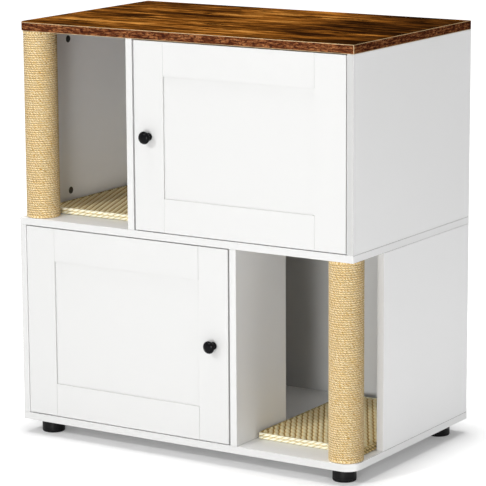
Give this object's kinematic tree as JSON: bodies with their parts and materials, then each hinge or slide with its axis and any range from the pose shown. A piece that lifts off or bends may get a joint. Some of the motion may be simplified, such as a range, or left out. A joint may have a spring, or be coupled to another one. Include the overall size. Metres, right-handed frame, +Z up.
{
  "type": "cat litter box cabinet",
  "caption": "White tiered cabinet for a litter box: wood-look top, framed hinged doors, rope-wound corner scratching posts and ribbed mats in its open bays.",
  "frame": {"origin": "centre of the bounding box, on the floor under the feet", "axes": "+X to the right seen from the front, +Y from the doors to the back, +Z up"},
  "size_m": [0.8, 0.503, 0.87],
  "materials": {
    "white_board": "smooth white laminate, satin",
    "brown_board": "dark rustic wood-look laminate, satin",
    "hardboard": "thin white-faced hardboard",
    "black_plastic": "moulded, fine matte texture",
    "black_knob": "glossy black enamel",
    "nickel": "nickel plated",
    "zinc_cam": "dark zinc casting",
    "sisal": "twisted sisal rope, fibrous",
    "sisal_mat": "woven, thick ribs in cream and olive",
    "card": "wound tube",
    "beech": "turned plug, bare"
  },
  "bodies": {
    "cabinet": {"top_panel": "brown_board", "middle_shelf": "white_board", "bottom_panel": "white_board", "upper_left_side": "white_board", "upper_right_side": "white_board", "upper_divider": "white_board", "lower_left_side": "white_board", "lower_right_side": "white_board", "lower_divider": "white_board", "upper_back_panel": "hardboard", "lower_back_panel": "hardboard", "upper_left_side_top_cam": "zinc_cam", "upper_left_side_bottom_cam": "zinc_cam", "front_left_foot": "black_plastic", "front_right_foot": "black_plastic", "rear_left_foot": "black_plastic", "rear_right_foot": "black_plastic", "upper_bottom_hinge_arm": "nickel", "upper_bottom_hinge_plate": "nickel", "upper_top_hinge_arm": "nickel", "upper_top_hinge_plate": "nickel", "upper_post_rope": "sisal", "upper_post_tube": "card", "upper_post_bottom_plug": "beech", "upper_post_top_plug": "beech", "upper_post_bolt": "nickel", "upper_mat": "sisal_mat", "lower_bottom_hinge_arm": "nickel", "lower_bottom_hinge_plate": "nickel", "lower_top_hinge_arm": "nickel", "lower_top_hinge_plate": "nickel", "lower_post_rope": "sisal", "lower_post_tube": "card", "lower_post_bottom_plug": "beech", "lower_post_top_plug": "beech", "lower_post_bolt": "nickel", "lower_mat": "sisal_mat"},
    "upper_door": {"upper_door_hinge_stile": "white_board", "upper_door_knob_stile": "white_board", "upper_door_bottom_rail": "white_board", "upper_door_top_rail": "white_board", "upper_door_centre_panel": "white_board", "upper_door_knob": "black_knob", "upper_door_knob_screw": "nickel", "upper_bottom_hinge_cup": "nickel", "upper_bottom_hinge_pin": "nickel", "upper_top_hinge_cup": "nickel", "upper_top_hinge_pin": "nickel"},
    "lower_door": {"lower_door_hinge_stile": "white_board", "lower_door_knob_stile": "white_board", "lower_door_bottom_rail": "white_board", "lower_door_top_rail": "white_board", "lower_door_centre_panel": "white_board", "lower_door_knob": "black_knob", "lower_door_knob_screw": "nickel", "lower_bottom_hinge_cup": "nickel", "lower_bottom_hinge_pin": "nickel", "lower_top_hinge_cup": "nickel", "lower_top_hinge_pin": "nickel"}
  },
  "joints": [
    {"name": "upper_door_hinge", "type": "hinge", "parent": "cabinet", "child": "upper_door", "pos_m": [0.367, -0.221, 0.6575], "axis": [0, 0, 1], "range_deg": [0, 100]},
    {"name": "lower_door_hinge", "type": "hinge", "parent": "cabinet", "child": "lower_door", "pos_m": [-0.367, -0.221, 0.2465], "axis": [0, 0, -1], "range_deg": [0, 100]}
  ]
}
